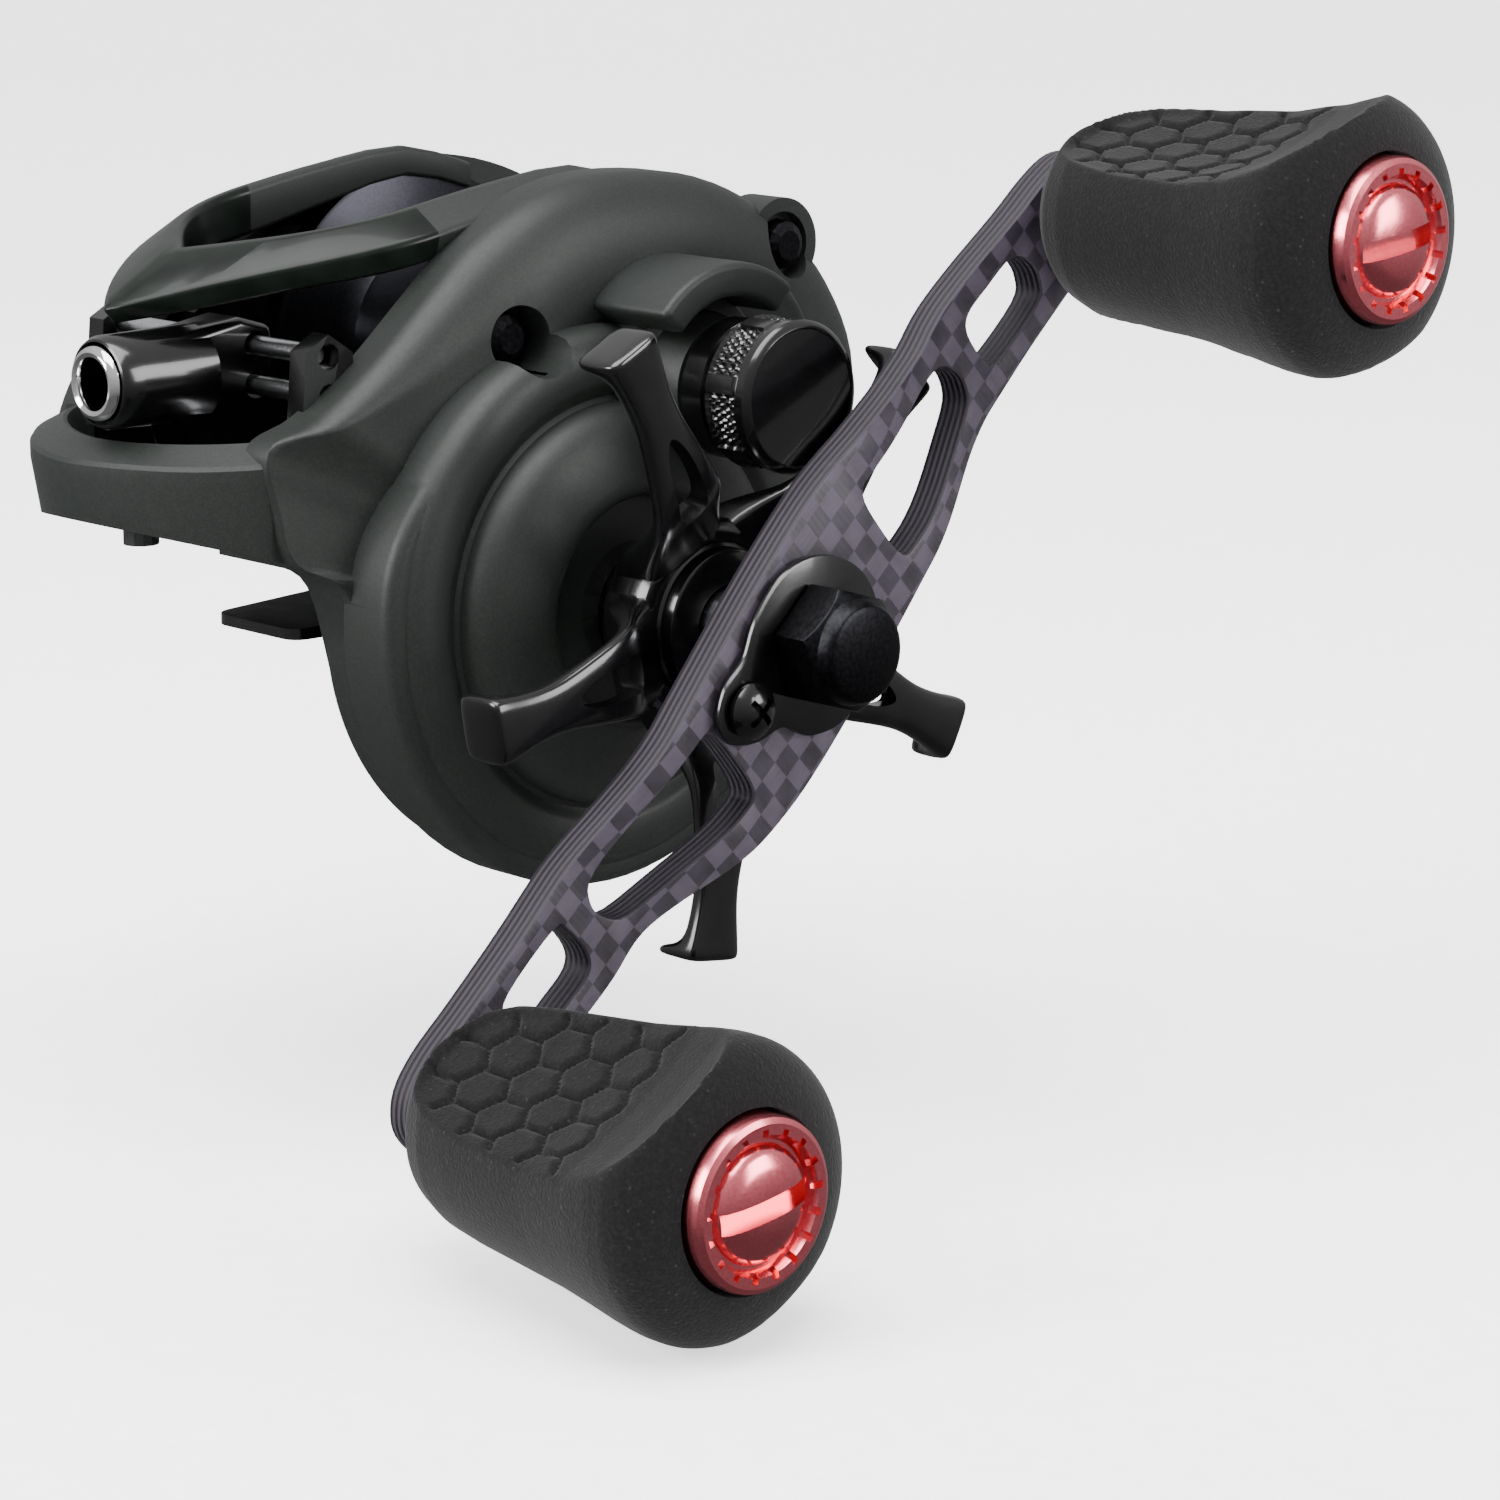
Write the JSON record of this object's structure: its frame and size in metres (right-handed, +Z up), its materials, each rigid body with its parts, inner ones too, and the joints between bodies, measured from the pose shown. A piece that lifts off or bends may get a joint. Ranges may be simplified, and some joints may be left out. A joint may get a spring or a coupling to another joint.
{
  "type": "fishing reel",
  "caption": "low-profile baitcasting fishing reel with level wind, star drag, hooded nose and a cranked double-knob power handle",
  "frame": {"origin": "centre of the reel foot's underside, where the reel rests on a rod's reel seat", "axes": "+X towards the handle, -Y towards the nose and the rod tip, +Z up away from the rod"},
  "size_m": [0.1101, 0.0996, 0.094],
  "materials": {
    "painted_magnesium": "matte dark grey-green enamel over cast magnesium",
    "gloss_black": "gloss black",
    "black_oxide": "black oxide",
    "carbon_laminate": "woven carbon laminate, satin",
    "eva_foam": "closed-cell foam, fine speckle",
    "rose_anodised": "rose anodised, bright",
    "spool_aluminium": "dark anodised",
    "steel": "ground",
    "guide_ring_chrome": "polished",
    "brass": "machined",
    "carbon_fibre_washer": "woven friction fabric"
  },
  "bodies": {
    "reel_body": {"frame": "painted_magnesium", "handle_side_plate": "painted_magnesium", "palm_side_plate": "painted_magnesium", "front_hood": "gloss_black", "reel_foot": "gloss_black", "front_foot_screw": "steel", "rear_foot_screw": "steel", "front_side_plate_screw": "black_oxide", "rear_side_plate_screw": "black_oxide", "handle_side_bearing": "steel", "palm_side_bearing": "steel", "brake_ring": "spool_aluminium", "upper_guide_rod": "steel", "lower_guide_rod": "steel", "anti_reverse_bearing": "steel"},
    "handle": {"drive_shaft": "steel", "main_gear": "brass", "level_wind_drive_gear": "brass", "carbon_drag_washer": "carbon_fibre_washer", "drag_pressure_plate": "steel", "ratchet_wheel": "black_oxide", "drag_spring_washer": "steel", "handle_arm": "carbon_laminate", "nut_retainer": "gloss_black", "handle_nut": "black_oxide", "retainer_screw": "black_oxide", "front_knob_spindle": "steel", "back_knob_spindle": "steel"},
    "star": {"star_drag": "gloss_black"},
    "front_grip": {"front_knob": "eva_foam", "front_knob_cap": "rose_anodised"},
    "back_grip": {"back_knob": "eva_foam", "back_knob_cap": "rose_anodised"},
    "spool_body": {"spool": "spool_aluminium", "spool_shaft": "steel"},
    "yoke": {"clutch_yoke": "black_oxide"},
    "pinion_gear": {"pinion": "brass"},
    "bar": {"thumb_bar": "gloss_black"},
    "tension_control": {"tension_knob": "gloss_black"},
    "brake_control": {"brake_dial": "gloss_black"},
    "idler": {"idler_gear": "brass"},
    "worm": {"worm_shaft": "steel", "worm_gear": "brass"},
    "carriage": {"line_guide_carriage": "gloss_black", "line_guide_ring": "guide_ring_chrome"}
  },
  "joints": [
    {"name": "handle_spin", "type": "hinge", "parent": "reel_body", "child": "handle", "pos_m": [0, -0.0065, 0.003], "axis": [1, 0, 0], "continuous": true},
    {"name": "star_turn", "type": "hinge", "parent": "handle", "child": "star", "pos_m": [0, -0.0065, 0.003], "axis": [1, 0, 0], "range_deg": [-360, 360]},
    {"name": "front_knob_spin", "type": "hinge", "parent": "handle", "child": "front_grip", "pos_m": [0, -0.04414, -0.03186], "axis": [1, 0, 0], "continuous": true},
    {"name": "back_knob_spin", "type": "hinge", "parent": "handle", "child": "back_grip", "pos_m": [0, 0.03114, 0.03785], "axis": [1, 0, 0], "continuous": true},
    {"name": "spool_spin", "type": "hinge", "parent": "reel_body", "child": "spool_body", "pos_m": [0, 0.0022, 0.0225], "axis": [1, 0, 0], "continuous": true},
    {"name": "yoke_slide", "type": "slide", "parent": "reel_body", "child": "yoke", "axis": [1, 0, 0], "range_m": [0, 0.001]},
    {"name": "pinion_spin", "type": "hinge", "parent": "yoke", "child": "pinion_gear", "pos_m": [0, 0.0022, 0.0225], "axis": [1, 0, 0], "continuous": true},
    {"name": "bar_press", "type": "slide", "parent": "reel_body", "child": "bar", "axis": [0, 0, -1], "range_m": [0, 0.004], "stiffness_N_per_m": 60, "springref_m": -0.002},
    {"name": "tension_turn", "type": "hinge", "parent": "reel_body", "child": "tension_control", "pos_m": [0, 0.0022, 0.0225], "axis": [1, 0, 0], "range_deg": [-360, 360]},
    {"name": "brake_turn", "type": "hinge", "parent": "reel_body", "child": "brake_control", "pos_m": [0, 0.0022, 0.0225], "axis": [1, 0, 0], "range_deg": [-150, 150]},
    {"name": "idler_spin", "type": "hinge", "parent": "reel_body", "child": "idler", "pos_m": [0, -0.0239, 0.0102], "axis": [1, 0, 0], "continuous": true},
    {"name": "worm_spin", "type": "hinge", "parent": "reel_body", "child": "worm", "pos_m": [0, -0.0326, 0.0138], "axis": [1, 0, 0], "continuous": true},
    {"name": "carriage_slide", "type": "slide", "parent": "reel_body", "child": "carriage", "axis": [1, 0, 0], "range_m": [-0.011, 0.006]}
  ],
  "couplings": [
    {"joint": "spool_spin", "follows": "handle_spin", "ratio": -7.2},
    {"joint": "pinion_spin", "follows": "handle_spin", "ratio": -7.2},
    {"joint": "idler_spin", "follows": "handle_spin", "ratio": -2},
    {"joint": "worm_spin", "follows": "handle_spin", "ratio": 4},
    {"joint": "yoke_slide", "follows": "bar_press", "ratio": 0.25}
  ]
}
